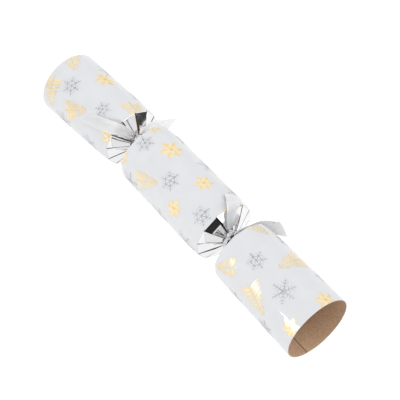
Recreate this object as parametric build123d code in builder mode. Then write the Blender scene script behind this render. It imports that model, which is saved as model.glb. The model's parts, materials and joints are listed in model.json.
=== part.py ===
from build123d import *
import os
from math import cos, hypot, radians, sin, sqrt

# A christmas cracker lying on its side: a barrel between two open end tubes, joined by tied necks.
# X runs along the barrel, +Z is up, and Z = 0 is the table. All sizes are in millimetres.

# Rolled card: one sheet, white outside and kraft inside, lapped on itself along the length
board = 0.5
lap_angle = 38.0
seam_angle = -105.0  # inner edge of the lap, measured from +Y towards +Z

# Tubes
barrel_length = 96.0
barrel_radius = 26.0
left_end_length = 80.0  # rolled by hand, so the two ends differ a little
right_end_length = 83.0
mouth_radius = 27.0
liner_board = 0.6
liner_clearance = 0.15
liner_setback = 10.0

# Necks, slit into strips that fold in to the tie
neck_length = 21.0  # from a barrel rim to the rim of the end tube beside it
facet_count = 12
corner_angle = 18.0
crease_run = 16.0  # how far the flats run back into the round tube
foil = 0.4
choke_radius = 6.0
slit_width = 0.6
collar_wall = 0.9  # the strips' ends, gathered under the tie
barrel_tie_room = 1.35  # from the middle of the tie to the barrel's throat
barrel_collar_stop = 0.2  # from the middle of the tie to the end of the barrel's collar
end_tie_room = 2.6  # from the middle of the tie to the end tube's throat
end_collar_stop = 0.95
left_bend = 4.1  # the left neck lies a little bent, turned about the vertical

# Ribbon
ribbon_width = 10.0
ribbon_thickness = 0.3
tail_steps = 24
knot_gather = (0.4, 0.75)  # share of the width left at a tail's first stations, where the knot bunches it
tie_clearance = 0.5
tie_groove_height = 1.3
tie_crest_height = 1.7
tie_inner_width = 2.0
tie_outer_width = 3.4
tie_crests = 3
crest_share = 0.4  # of a crest's width that is flat on top
seat_gap = 0.3
knot_angle = 100.0
knot_across = 6.4
knot_along = 3.4
knot_height = 3.4
knot_round = 1.4
knot_band_across = 2.6
knot_band_proud = 0.3
knot_band_round = 0.15
knot_tail_gap = 1.1
tail_overhang = 9.57  # how far the left neck's back tail stands out past the tubes

# Snap
snap_width = 5.0
snap_card = 0.5
snap_gap = 0.5  # between the two strips' facing sides
snap_overlap = 30.0
snap_reach = 105.0  # from the middle of the barrel to a strip's outer end
charge_length = 12.0
charge_width = 4.2
charge_thickness = 0.15
sleeve_length = 34.0
sleeve_paper = 0.25
sleeve_clearance = 0.3

# Contents, lying on the barrel's floor
contents_gap = 0.2
hat_length = 56.0
hat_width = 26.0
hat_height = 6.0
hat_start = -42.0
motto_length = 50.0
motto_width = 20.0
motto_thickness = 0.3
top_start = 18.0
top_disc_radius = 9.0
top_disc_height = 3.0
top_disc_round = 1.0
top_stem_radius = 1.6
top_stem_length = 11.0
top_stem_round = 0.8
top_neck_radius = 3.0
top_neck_height = 2.0
top_point_length = 8.0
top_point_round = 0.9

# Sizes that follow from those above
half_facet = 180 / facet_count
rim_radius = barrel_radius - board
rim_apothem = rim_radius * cos(radians(half_facet))
throat_apothem = choke_radius * cos(radians(half_facet))
flat_growth = (barrel_radius + board - rim_apothem) / crease_run
cone_depth = (neck_length - barrel_tie_room - end_tie_room) / 2
barrel_rim = barrel_length / 2
choke_place = barrel_rim + cone_depth + barrel_tie_room
end_rim = end_tie_room + cone_depth  # from the choke
left_mouth = end_rim + left_end_length
right_mouth = end_rim + right_end_length
lap_rise = board * lap_angle / 360
axis_height = mouth_radius + lap_rise
axis_side = (left_mouth * sin(radians(left_bend)) - tail_overhang) / 2  # centres the whole cracker on Y = 0
tie_inner_radius = choke_radius + tie_clearance
tie_groove_radius = tie_inner_radius + tie_groove_height
tie_outer_radius = tie_inner_radius + tie_crest_height
liner_radius = barrel_radius - 2 * board - liner_clearance
liner_bore = liner_radius - liner_board

# Frames: local z runs along the cracker, local x is +Y and local y is +Z
barrel_frame = Plane(origin=(0, axis_side, axis_height), x_dir=(0, 1, 0), z_dir=(1, 0, 0))
left_choke = barrel_frame.offset(-choke_place)
right_choke = barrel_frame.offset(choke_place)
bend = radians(left_bend)
left_frame = Plane(origin=left_choke.origin, x_dir=(-sin(bend), cos(bend), 0), z_dir=(cos(bend), sin(bend), 0))
right_frame = right_choke


def facing_left(frame):
    """The same place with its local z turned round to run towards -X."""
    return Plane(origin=frame.origin, x_dir=frame.x_dir, z_dir=-frame.z_dir)


def rolled_form(frame, ends, radii, inset, creased):
    """One face of a rolled card tube as a solid: a spiral turn, with flats worked into its creased ends."""
    first_turn = 0 if inset else lap_angle
    with BuildPart() as form:
        for place, radius in zip(ends, radii):
            points = []
            for step in range(9):
                turned = first_turn + 45 * step
                reach = radius - board * (1 - turned / 360) - inset
                angle = radians(seam_angle + turned)
                points.append((reach * cos(angle), reach * sin(angle)))
            with BuildSketch(frame.offset(place)):
                with BuildLine():
                    for quarter in range(4):
                        ThreePointArc(*points[2 * quarter : 2 * quarter + 3])
                    Line(points[-1], points[0])
                make_face()
        loft(ruled=True)
        for rim, far in creased:
            for place in (rim, far):
                apothem = rim_apothem + flat_growth * abs(place - rim) - inset
                with BuildSketch(frame.offset(place)):
                    RegularPolygon(apothem, facet_count, major_radius=False, rotation=corner_angle)
            loft(ruled=True, mode=Mode.INTERSECT)
    return form.part


# Barrel: the printed card tube, creased into flats at both rims, and the plain card that stiffens it
barrel_ends = (-barrel_rim, barrel_rim)
barrel_creases = ((-barrel_rim, barrel_rim), (barrel_rim, -barrel_rim))
barrel_outside = rolled_form(barrel_frame, barrel_ends, (barrel_radius, barrel_radius), 0, barrel_creases)
barrel_inside = rolled_form(barrel_frame, barrel_ends, (barrel_radius, barrel_radius), board, barrel_creases)
with BuildPart() as barrel_wrapper:
    add(barrel_outside)
    add(barrel_inside, mode=Mode.SUBTRACT)

liner_length = barrel_length - 2 * liner_setback
with BuildPart() as barrel_liner:
    with BuildSketch(barrel_frame):
        Circle(liner_radius)
        Circle(liner_bore, mode=Mode.SUBTRACT)
    extrude(amount=liner_length / 2, both=True)


def end_wrapper(frame, rim, mouth):
    """An open end tube: creased where it meets the neck and opening out a little towards its mouth."""
    ends = (rim, mouth)
    radii = (barrel_radius, mouth_radius)
    outside = rolled_form(frame, ends, radii, 0, (ends,))
    inside = rolled_form(frame, ends, radii, board, (ends,))
    with BuildPart() as tube:
        add(outside)
        add(inside, mode=Mode.SUBTRACT)
    return tube


left_end_wrapper = end_wrapper(left_frame, -end_rim, -left_mouth)
right_end_wrapper = end_wrapper(right_frame, end_rim, right_mouth)

# One strip of a neck, with its rim at z = 0 and its throat below
fall = rim_apothem - throat_apothem
strip_slant = hypot(fall, cone_depth)
rim_half = rim_radius * sin(radians(half_facet)) - slit_width / 2
throat_half = choke_radius * sin(radians(half_facet)) - slit_width / 2
with BuildPart() as neck_strip:
    with BuildSketch(Plane(origin=(rim_apothem, 0, 0), x_dir=(0, 1, 0), z_dir=(cone_depth, 0, -fall))):
        with BuildLine():
            Polyline(
                (-rim_half, 0),
                (rim_half, 0),
                (throat_half, -strip_slant),
                (-throat_half, -strip_slant),
                close=True,
            )
        make_face()
    extrude(amount=-foil)
    split(bisect_by=Plane.XY, keep=Keep.BOTTOM)


def slit_neck(rim_plane, first_corner, collar_length):
    """The ring of strips that closes a tube down to the tie, and the collar of their ends gathered under it."""
    with BuildPart(rim_plane) as neck:
        with PolarLocations(0, facet_count, start_angle=first_corner + half_facet):
            add(neck_strip.part)
        with BuildSketch(rim_plane.offset(foil - cone_depth)):
            Circle(choke_radius)
            Circle(choke_radius - collar_wall, mode=Mode.SUBTRACT)
        extrude(amount=-foil - collar_length)
    return neck


barrel_collar = barrel_tie_room - barrel_collar_stop
end_collar = end_tie_room - end_collar_stop
barrel_left_pleats = slit_neck(barrel_frame.offset(-barrel_rim), corner_angle, barrel_collar)
barrel_right_pleats = slit_neck(facing_left(barrel_frame.offset(barrel_rim)), -corner_angle, barrel_collar)
left_end_pleats = slit_neck(facing_left(left_frame.offset(-end_rim)), -corner_angle, end_collar)
right_end_pleats = slit_neck(right_frame.offset(end_rim), corner_angle, end_collar)


def ribbon_tie(choke):
    """The turn of ribbon drawn tight round a neck, bunched into lengthwise crests."""
    slice_plane = Plane(origin=choke.origin, x_dir=choke.x_dir, z_dir=-choke.y_dir)
    crest = tie_outer_width / tie_crests
    slope = crest * (1 - crest_share) / 2
    with BuildPart() as tie:
        with BuildSketch(slice_plane):
            with BuildLine():
                for number in range(tie_crests):
                    low = number * crest - tie_outer_width / 2
                    Polyline(
                        (tie_groove_radius, low),
                        (tie_outer_radius, low + slope),
                        (tie_outer_radius, low + crest - slope),
                        (tie_groove_radius, low + crest),
                    )
                Polyline(
                    (tie_groove_radius, tie_outer_width / 2),
                    (tie_inner_radius, tie_inner_width / 2),
                    (tie_inner_radius, -tie_inner_width / 2),
                    (tie_groove_radius, -tie_outer_width / 2),
                )
            make_face()
        revolve(axis=Axis(choke.origin, choke.z_dir))
    return tie


left_ribbon_tie = ribbon_tie(left_choke)
right_ribbon_tie = ribbon_tie(right_choke)


def ribbon_knot(choke):
    """The knot on top of the tie: a rounded lump with one turn of ribbon crossing over it."""
    turn = radians(knot_angle)
    outward = choke.x_dir * cos(turn) + choke.y_dir * sin(turn)
    seat = Plane(
        origin=choke.origin + outward * (tie_outer_radius + seat_gap),
        x_dir=choke.z_dir.cross(outward),
        z_dir=outward,
    )
    with BuildPart() as knot:
        with BuildSketch(seat):
            RectangleRounded(knot_across, knot_along, knot_round)
        extrude(amount=knot_height)
        fillet(knot.faces().sort_by(Axis(seat.origin, outward))[-1].edges(), knot_round)
        with BuildSketch(seat):
            RectangleRounded(knot_band_across, knot_along + 2 * knot_band_proud, knot_band_proud)
        extrude(amount=knot_height + knot_band_proud)
        fillet(knot.faces().sort_by(Axis(seat.origin, outward))[-1].edges(), knot_band_round)
    return knot


left_ribbon_knot = ribbon_knot(left_choke)
right_ribbon_knot = ribbon_knot(right_choke)


# Ribbon ends: places run along the cracker from the tie, angles round it from +Y towards +Z
tail_root = knot_along / 2 + knot_tail_gap
tail_radius = barrel_radius + lap_rise + seat_gap + ribbon_thickness / 2
knot_top = tie_outer_radius + 2 * seat_gap + knot_height + knot_band_proud + ribbon_thickness / 2
barrel_rim_reach = barrel_tie_room + cone_depth  # from the choke


def tail_station(along, reach, angle, across):
    """A place on a ribbon's middle line and the way across it there, which runs round the tube unless given."""
    turn = radians(angle)
    return (along, reach * cos(turn), reach * sin(turn)), across or (0, -sin(turn), cos(turn))


def over_neck(rim, share, climb, angle, across=None):
    """A station between the knot and a rim: the share of the way along, and of the climb to the tube's outside."""
    reach = knot_top + (tail_radius - knot_top) * climb
    return tail_station(tail_root + (rim - tail_root) * share, reach, angle, across)


def past_rim(rim, distance, lift, angle, across=None):
    """A station beyond a rim, lifted off the tube."""
    return tail_station(rim + distance, tail_radius + lift, angle, across)


def ribbon_tail(frame, way, stations, cut_lead):
    """A ribbon end along a smooth line through its stations, each a middle point and the way across, cut on a slant."""
    middles = []
    acrosses = []
    for (along, side, up), (across_along, across_side, across_up) in stations:
        middles.append(frame.from_local_coords(Vector(side, up, way * along)))
        tip = frame.from_local_coords(Vector(across_side, across_up, way * across_along))
        acrosses.append((tip - frame.origin).normalized())
    gathers = knot_gather + (1,) * (len(stations) - len(knot_gather))
    spans = len(stations) - 1
    route = Edge.make_spline(middles, parameters=[number / spans for number in range(len(stations))])
    with BuildPart() as tail:
        for step in range(tail_steps + 1):
            share = step / tail_steps
            number = min(int(share * spans), spans - 1)
            blend = share * spans - number
            across = acrosses[number] * (1 - blend) + acrosses[number + 1] * blend
            gather = gathers[number] * (1 - blend) + gathers[number + 1] * blend
            ahead = route % share
            across = (across - ahead * across.dot(ahead)).normalized()
            edge = across * ribbon_width * gather
            if step == tail_steps:
                edge = edge + ahead * cut_lead
            face_normal = ahead.cross(across)
            with BuildSketch(Plane(origin=route @ share, x_dir=edge, z_dir=edge.cross(face_normal))):
                Rectangle(edge.length, ribbon_thickness)
        loft(ruled=True)
    return tail


left_end_tail_stations = (
    over_neck(end_rim, 0.0, -0.06, 107),
    over_neck(end_rim, 0.41, 0.44, 116),
    over_neck(end_rim, 0.985, 1.05, 125),
    past_rim(end_rim, 6.9, 0.5, 132),
    past_rim(end_rim, 15.9, 0.4, 140),
    past_rim(end_rim, 23.9, 0.5, 147),
)
left_barrel_tail_stations = (
    over_neck(barrel_rim_reach, -0.4, -0.09, 79, (-1.0, 0.0, 0.1)),
    over_neck(barrel_rim_reach, -0.37, 0.26, 54, (-1.0, 0.0, 0.3)),
    over_neck(barrel_rim_reach, -0.27, 0.53, 38, (-0.85, 0.0, 0.5)),
    over_neck(barrel_rim_reach, -0.14, 0.75, 25, (-0.85, 0.05, 0.5)),
    past_rim(barrel_rim_reach, -6.5, 2.4, 12, (-0.85, 0.1, 0.5)),
)
right_end_tail_stations = (
    over_neck(end_rim, 0.0, -0.1, 93, (0.15, -0.5, 0.85)),
    over_neck(end_rim, 0.06, 0.08, 57, (0.2, -0.5, 0.84)),
    over_neck(end_rim, 0.49, 0.7, 31, (0.05, -0.3, 0.95)),
    past_rim(end_rim, -0.1, 0.7, 29, (0.0, -0.36, 0.93)),
    past_rim(end_rim, 5.0, 2.5, 30, (-0.19, -0.19, 0.96)),
    past_rim(end_rim, 13.2, 5.7, 33, (-0.44, 0.35, 0.83)),
)
right_barrel_tail_stations = (
    over_neck(barrel_rim_reach, 0.0, -0.07, 95),
    over_neck(barrel_rim_reach, 0.37, 0.49, 84),
    over_neck(barrel_rim_reach, 0.95, 1.03, 75),
    past_rim(barrel_rim_reach, 4.4, 0.8, 67),
    past_rim(barrel_rim_reach, 10.0, 0.5, 60),
)
left_ribbon_end_tail = ribbon_tail(left_frame, -1, left_end_tail_stations, 11.0)
left_ribbon_barrel_tail = ribbon_tail(left_choke, 1, left_barrel_tail_stations, 14.0)
right_ribbon_end_tail = ribbon_tail(right_frame, 1, right_end_tail_stations, -4.3)
right_ribbon_barrel_tail = ribbon_tail(right_choke, -1, right_barrel_tail_stations, -2.0)

# Snap: two card strips that overlap in the middle of the barrel, with a charge between them
strip_rise = (snap_gap + snap_card) / 2
strip_inner = snap_overlap / 2
strip_length = snap_reach + strip_inner
charge_rise = (snap_gap - charge_thickness) / 2


def flat_bar(start, length, width, rise, thickness):
    """A flat bar along the barrel's axis, at a height above it."""
    with BuildPart() as bar:
        with BuildSketch(barrel_frame.offset(start)):
            with Locations((0, rise)):
                Rectangle(width, thickness)
        extrude(amount=length)
    return bar


left_snap_strip = flat_bar(-snap_reach, strip_length, snap_width, -strip_rise, snap_card)
right_snap_strip = flat_bar(-strip_inner, strip_length, snap_width, strip_rise, snap_card)
left_snap_charge = flat_bar(-charge_length / 2, charge_length, charge_width, -charge_rise, charge_thickness)
right_snap_charge = flat_bar(-charge_length / 2, charge_length, charge_width, charge_rise, charge_thickness)

# Paper sleeve glued over the overlap: it holds the right strip and lets the left one slide out
sleeve_top = strip_rise + snap_card / 2
sleeve_bottom = -sleeve_top - sleeve_clearance
sleeve_bore_width = snap_width + 2 * sleeve_clearance
with BuildPart() as snap_sleeve:
    with BuildSketch(barrel_frame.offset(-sleeve_length / 2)):
        with Locations((0, (sleeve_top + sleeve_bottom) / 2)):
            Rectangle(sleeve_bore_width + 2 * sleeve_paper, sleeve_top - sleeve_bottom + 2 * sleeve_paper)
            Rectangle(sleeve_bore_width, sleeve_top - sleeve_bottom, mode=Mode.SUBTRACT)
    extrude(amount=sleeve_length)

# Folded tissue hat, lying across the floor of the liner, with the motto slip on it
hat_reach = liner_bore - contents_gap - hat_height / 2
hat_rise = -sqrt(hat_reach**2 - ((hat_width - hat_height) / 2) ** 2)
with BuildPart() as paper_hat:
    with BuildSketch(barrel_frame.offset(hat_start)):
        with Locations((0, hat_rise)):
            SlotOverall(hat_width, hat_height)
    extrude(amount=hat_length)

motto_rise = hat_rise + (hat_height + motto_thickness) / 2
motto_start = hat_start + (hat_length - motto_length) / 2
motto_slip = flat_bar(motto_start, motto_length, motto_width, motto_rise, motto_thickness)

# Spinning top, lying with its disc on the liner
top_line = barrel_frame.origin + barrel_frame.y_dir * (top_disc_radius + contents_gap - liner_bore)
top_plane = Plane(origin=top_line, x_dir=(1, 0, 0), z_dir=(0, -1, 0))
disc_start = top_start + top_stem_length + top_neck_height
disc_end = disc_start + top_disc_height
with BuildPart() as spinning_top:
    with BuildSketch(top_plane):
        with BuildLine():
            Polyline(
                (top_start, 0),
                (top_start, top_stem_radius),
                (top_start + top_stem_length, top_stem_radius),
                (top_start + top_stem_length, top_neck_radius),
                (disc_start, top_disc_radius),
                (disc_end, top_disc_radius),
                (disc_end + top_point_length, 0),
                close=True,
            )
        make_face()
    revolve(axis=Axis(top_line, (1, 0, 0)))
    rims = spinning_top.edges().filter_by(GeomType.CIRCLE).sort_by(Axis.X)
    fillet(rims[0], top_stem_round)
    widest = spinning_top.edges().filter_by(GeomType.CIRCLE).group_by(SortBy.RADIUS)[-1]
    fillet(widest, top_disc_round)

pieces = {
    "barrel_wrapper": barrel_wrapper,
    "barrel_liner": barrel_liner,
    "barrel_left_pleats": barrel_left_pleats,
    "barrel_right_pleats": barrel_right_pleats,
    "left_end_wrapper": left_end_wrapper,
    "left_end_pleats": left_end_pleats,
    "right_end_wrapper": right_end_wrapper,
    "right_end_pleats": right_end_pleats,
    "left_ribbon_tie": left_ribbon_tie,
    "left_ribbon_knot": left_ribbon_knot,
    "left_ribbon_end_tail": left_ribbon_end_tail,
    "left_ribbon_barrel_tail": left_ribbon_barrel_tail,
    "right_ribbon_tie": right_ribbon_tie,
    "right_ribbon_knot": right_ribbon_knot,
    "right_ribbon_end_tail": right_ribbon_end_tail,
    "right_ribbon_barrel_tail": right_ribbon_barrel_tail,
    "left_snap_strip": left_snap_strip,
    "right_snap_strip": right_snap_strip,
    "left_snap_charge": left_snap_charge,
    "right_snap_charge": right_snap_charge,
    "snap_sleeve": snap_sleeve,
    "paper_hat": paper_hat,
    "motto_slip": motto_slip,
    "spinning_top": spinning_top,
}

os.makedirs("parts", exist_ok=True)
for node, piece in pieces.items():
    piece.part.label = node
    export_step(piece.part, f"parts/{node}.step")
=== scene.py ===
import bpy
import bmesh
import json
import random
from math import cos, pi, radians, sin
import numpy as np
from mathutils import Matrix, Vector


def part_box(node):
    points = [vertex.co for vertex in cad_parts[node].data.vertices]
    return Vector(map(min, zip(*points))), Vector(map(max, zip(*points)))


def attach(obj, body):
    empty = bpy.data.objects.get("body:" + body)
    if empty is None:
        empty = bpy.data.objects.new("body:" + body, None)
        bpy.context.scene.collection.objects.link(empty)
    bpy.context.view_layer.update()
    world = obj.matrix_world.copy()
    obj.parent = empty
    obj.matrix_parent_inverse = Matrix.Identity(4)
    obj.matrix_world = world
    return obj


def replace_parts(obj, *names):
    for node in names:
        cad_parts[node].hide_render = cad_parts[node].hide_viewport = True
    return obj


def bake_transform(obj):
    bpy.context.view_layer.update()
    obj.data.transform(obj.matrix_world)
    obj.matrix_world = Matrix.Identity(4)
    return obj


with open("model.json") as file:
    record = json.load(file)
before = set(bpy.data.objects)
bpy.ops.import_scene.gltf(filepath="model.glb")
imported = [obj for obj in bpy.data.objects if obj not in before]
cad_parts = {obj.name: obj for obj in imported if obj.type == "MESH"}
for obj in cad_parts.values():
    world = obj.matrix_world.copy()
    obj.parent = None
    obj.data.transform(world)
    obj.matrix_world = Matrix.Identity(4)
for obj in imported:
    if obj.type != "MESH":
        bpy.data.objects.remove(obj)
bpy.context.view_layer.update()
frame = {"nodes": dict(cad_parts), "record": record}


# Printed card
# One sheet of thin card, coated white outside and bare kraft inside, is rolled with a glued lap along it.
# The barrel and the two end tubes are its plain stretches. Beside the necks the creases press it into flats.
board = 0.0005
lap_angle = 38
seam_angle = -105
barrel_half = 0.048
barrel_radius = 0.026
mouth_radius = 0.027
rim_radius = 0.0255
facet_count = 12
facet_angle = 360 / facet_count
corner_angle = 18
crease_run = 0.016
crease_softness = 0.0003
ripple_height = 0.00003
ripple_calm = 0.012
ripple_waves = ((170, 3, 0), (95, -2, 1), (260, 5, 2))
rim_apothem = rim_radius * cos(radians(facet_angle / 2))
flat_growth = (barrel_radius + board - rim_apothem) / crease_run

mounts = {mount["name"]: mount for mount in frame["record"]["mounts"]}
left_neck = Vector(mounts["left_neck"]["pos_m"])
right_neck = Vector(mounts["right_neck"]["pos_m"])
left_mouth = Vector(mounts["left_mouth_rim"]["pos_m"])
right_mouth = Vector(mounts["right_mouth_rim"]["pos_m"])
left_reach = (left_mouth - left_neck).length
right_reach = (right_mouth - right_neck).length
end_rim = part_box("right_end_wrapper")[0][0] - right_neck.x


class Tube:
    """A stretch of the rolled card: places run along its axis, angles from its side towards the top."""

    def __init__(self, body, origin, along, ends, radii, rims):
        self.body = body
        self.origin = np.array(origin)
        self.along = np.array(along)
        self.side = np.array((-along[1], along[0], 0.0))
        self.up = np.array((0.0, 0.0, 1.0))
        self.ends = ends
        self.radii = radii
        self.rims = rims

    def point(self, place, angle, reach):
        turn = np.radians(angle)
        ray = np.multiply.outer(np.cos(turn), self.side) + np.multiply.outer(np.sin(turn), self.up)
        return self.origin + np.multiply.outer(place, self.along) + ray * np.asarray(reach)[..., None]

    def card(self, place, turned, inset):
        """Distance from axis to the card's outside: a spiral turn, with soft flats beside a creased rim."""
        share = (place - self.ends[0]) / (self.ends[1] - self.ends[0])
        layer = board * (1 - turned / 360) + inset
        reach = self.radii[0] + (self.radii[1] - self.radii[0]) * share - layer
        off_middle = (seam_angle + turned - corner_angle) % facet_angle - facet_angle / 2
        for rim in self.rims:
            flat = (rim_apothem + flat_growth * abs(place - rim) - layer) / np.cos(np.radians(off_middle))
            mix = np.clip(0.5 + (flat - reach) / (2 * crease_softness), 0, 1)
            reach = flat * (1 - mix) + reach * mix - crease_softness * mix * (1 - mix)
        return reach + self.ripple(place, turned)

    def ripple(self, place, turned):
        """The slight waves of hand-rolled card, which settle at its ends."""
        turn = np.radians(seam_angle + turned)
        calm = np.minimum(1, np.minimum(abs(place - self.ends[0]), abs(place - self.ends[1])) / ripple_calm)
        waves = sum(np.sin(place * along + around * turn + start) for along, around, start in ripple_waves)
        return ripple_height * calm * waves


left_along = (left_neck - left_mouth).normalized()
barrel_middle = (left_neck + right_neck) / 2
barrel_rims = (-barrel_half, barrel_half)
end_radii = (barrel_radius, mouth_radius)
barrel = Tube("barrel", barrel_middle, (1, 0, 0), barrel_rims, (barrel_radius, barrel_radius), barrel_rims)
left_end = Tube("left_end", left_neck, left_along, (-end_rim, -left_reach), end_radii, (-end_rim,))
right_end = Tube("right_end", right_neck, (1, 0, 0), (end_rim, right_reach), end_radii, (end_rim,))


def placed(name, data):
    """A new object at the origin that shows in the scene."""
    thing = bpy.data.objects.new(name, data)
    bpy.context.collection.objects.link(thing)
    return thing


def mesh_piece(name, points, faces, materials, face_slots, sharp_angle=40, flat_places=None):
    """A finished mesh object at the origin, smooth but for its sharp edges, mapped by its flat places."""
    mesh = bpy.data.meshes.new(name)
    mesh.from_pydata([tuple(point) for point in points], [], faces)
    for material in materials:
        mesh.materials.append(material)
    mesh.polygons.foreach_set("material_index", face_slots)
    if flat_places is not None:
        corners = np.zeros(len(mesh.loops), dtype=int)
        mesh.loops.foreach_get("vertex_index", corners)
        mesh.uv_layers.new(name="flat").data.foreach_set("uv", np.asarray(flat_places)[corners].ravel())
    mesh.polygons.foreach_set("use_smooth", [True] * len(faces))
    mesh.set_sharp_from_angle(angle=radians(sharp_angle))
    return placed(name, mesh)


front_slot, back_slot, edge_slot, seam_shade_slot = range(4)


def shell_faces(rows, columns):
    """Faces of a thin sheet, with their slots: an outer and an inner grid, and the wall round the border."""
    inner = rows * columns
    faces = []
    slots = []
    for row in range(rows - 1):
        for column in range(columns - 1):
            a = row * columns + column
            quad = (a, a + 1, a + columns + 1, a + columns)
            faces.append(quad)
            slots.append(front_slot)
            faces.append(tuple(inner + corner for corner in reversed(quad)))
            slots.append(back_slot)
    last = (rows - 1) * columns
    border = list(range(columns)) + [row * columns + columns - 1 for row in range(1, rows)]
    border += [last + column for column in range(columns - 2, -1, -1)]
    border += [row * columns for row in range(rows - 2, -1, -1)]
    for a, b in zip(border, border[1:]):
        faces.append((b, a, inner + a, inner + b))
        slots.append(edge_slot)
    return faces, slots


def turn_outwards(piece):
    """Points all faces of a closed mesh outwards."""
    work = bmesh.new()
    work.from_mesh(piece.data)
    bmesh.ops.recalc_face_normals(work, faces=work.faces)
    work.to_mesh(piece.data)
    work.free()


def tree_node(tree, kind, inputs, **settings):
    """A new node in a tree, with its settings made and its inputs set or linked."""
    made = tree.nodes.new(kind)
    for setting, value in settings.items():
        setattr(made, setting, value)
    for key, value in inputs.items():
        if isinstance(value, bpy.types.NodeSocket):
            tree.links.new(value, made.inputs[key])
        else:
            made.inputs[key].default_value = value
    return made


def math_node(tree, operation, *values):
    """The result of an operation in a tree, on numbers or sockets."""
    return tree_node(tree, "ShaderNodeMath", dict(enumerate(values)), operation=operation).outputs[0]


class Finish:
    """A material whose shader settings and texture nodes are added in short calls."""

    def __init__(self, name, **settings):
        self.material = bpy.data.materials.new(name)
        self.material.use_nodes = True
        self.tree = self.material.node_tree
        self.shader = self.tree.nodes["Principled BSDF"]
        for setting, value in settings.items():
            self.shader.inputs[setting.replace("_", " ")].default_value = value

    def node(self, kind, inputs, **settings):
        return tree_node(self.tree, kind, inputs, **settings)

    def drive(self, setting, socket):
        self.tree.links.new(socket, self.shader.inputs[setting])

    def coordinates(self, scale, output="Object"):
        place = self.node("ShaderNodeTexCoord", {}).outputs[output]
        return self.node("ShaderNodeMapping", {"Vector": place, "Scale": scale}).outputs["Vector"]

    def noise(self, scale, detail=4, output="Object"):
        inputs = {"Vector": self.coordinates(scale, output), "Scale": 1.0, "Detail": detail}
        return self.node("ShaderNodeTexNoise", inputs).outputs["Fac"]

    def tone(self, name, scale, share):
        """A mesh attribute stirred with a share of noise."""
        attribute = self.node("ShaderNodeAttribute", {}, attribute_name=name)
        speckle = math_node(self.tree, "MULTIPLY_ADD", self.noise(scale), share, -share / 2)
        return math_node(self.tree, "ADD", attribute.outputs["Fac"], speckle)

    def colour(self, factor, *stops):
        ramp = self.node("ShaderNodeValToRGB", {"Fac": factor})
        elements = ramp.color_ramp.elements
        for number, (position, colour) in enumerate(stops):
            element = elements[number] if number < 2 else elements.new(position)
            element.position = position
            element.color = (*colour, 1.0)
        self.drive("Base Color", ramp.outputs["Color"])

    def roughness(self, factor, low, high):
        rough = self.node("ShaderNodeMapRange", {"Value": factor, "To Min": low, "To Max": high})
        self.drive("Roughness", rough.outputs["Result"])

    def bump(self, height, distance, strength):
        relief = self.node("ShaderNodeBump", {"Height": height, "Distance": distance, "Strength": strength})
        self.drive("Normal", relief.outputs["Normal"])

    def grain(self, scale, detail, stops, rough, relief=None, output="Object"):
        """One noise for the colour, the roughness and, given its distance and strength, the relief."""
        noise = self.noise(scale, detail, output)
        self.colour(noise, *stops)
        self.roughness(noise, *rough)
        if relief:
            self.bump(noise, *relief)
        return self


white_finish = Finish("coated_white_card", Specular_IOR_Level=0.3, Coat_Weight=0.4, Coat_Roughness=0.05)
white_finish.grain((90, 90, 90), 6, ((0.3, (0.625, 0.632, 0.652)), (0.7, (0.650, 0.655, 0.672))),
                   (0.46, 0.56))
white_finish.bump(white_finish.noise((1400, 1400, 1400)), 0.00004, 0.5)
kraft_finish = Finish("bare_kraft", Specular_IOR_Level=0.25).grain(
    (700, 1100, 1100), 8,
    ((0.25, (0.44, 0.283, 0.174)), (0.5, (0.57, 0.388, 0.255)), (0.75, (0.66, 0.470, 0.324))),
    (0.75, 0.95), (0.0001, 0.6))
edge_finish = Finish("cut_card_edge", Specular_IOR_Level=0.25).grain(
    (600, 600, 600), 6, ((0.3, (0.50, 0.46, 0.42)), (0.7, (0.74, 0.71, 0.68))), (0.7, 0.9))
# The cut edge along the inner lap is painted near-black: painted shade for the shadow along the lap's step.
seam_shade_finish = Finish("inner_seam_painted_shade", Specular_IOR_Level=0.2).grain(
    (400, 900, 900), 5, ((0.3, (0.055, 0.030, 0.016)), (0.7, (0.12, 0.07, 0.04))), (0.8, 0.95))

card_columns = 360
rim_steps = (0, 0.0003, 0.0008, 0.0015, 0.0025, 0.004, 0.006, 0.008, 0.0105, 0.013)
plain_step = 0.0035
least_step = 0.000001


def card_places(tube):
    """Places along a tube for its rows of points, close together beside a creased rim."""
    first, last = tube.ends
    span = abs(last - first)
    creased = last in tube.rims
    far_steps = rim_steps if creased else (0,)
    count = round((span - crease_run * (1 + creased)) / plain_step)
    places = list(rim_steps) + list(np.linspace(crease_run, span - crease_run * creased, count + 1))
    places += [span - step for step in reversed(far_steps) if span - step > places[-1] + least_step]
    return first + np.array(places) * np.sign(last - first)


def rolled_card(name, tube):
    """The card tube as a thin sheet: white face outside, kraft face inside, pale cut edges, painted shade on
    the inner seam's edge.
    """
    places = card_places(tube)
    turned = np.linspace(0, 360 + lap_angle, card_columns)
    place_grid, turned_grid = np.meshgrid(places, turned, indexing="ij")
    sides = []
    for inset in (0, board):
        reach = tube.card(place_grid, turned_grid, inset)
        sides.append(tube.point(place_grid, seam_angle + turned_grid, reach).reshape(-1, 3))
    faces, slots = shell_faces(len(places), card_columns)
    # The cut edge along the inner lap takes the seam's painted shade.
    for number, face in enumerate(faces):
        if slots[number] == edge_slot and all(corner % card_columns == 0 for corner in face):
            slots[number] = seam_shade_slot
    materials = (white_finish.material, kraft_finish.material, edge_finish.material, seam_shade_finish.material)
    piece = mesh_piece(name, np.concatenate(sides), faces, materials, slots)
    turn_outwards(piece)
    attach(piece, tube.body)
    return piece


for tube in (barrel, left_end, right_end):
    node = tube.body + "_wrapper"
    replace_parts(rolled_card(node + "_card", tube), node)


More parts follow.
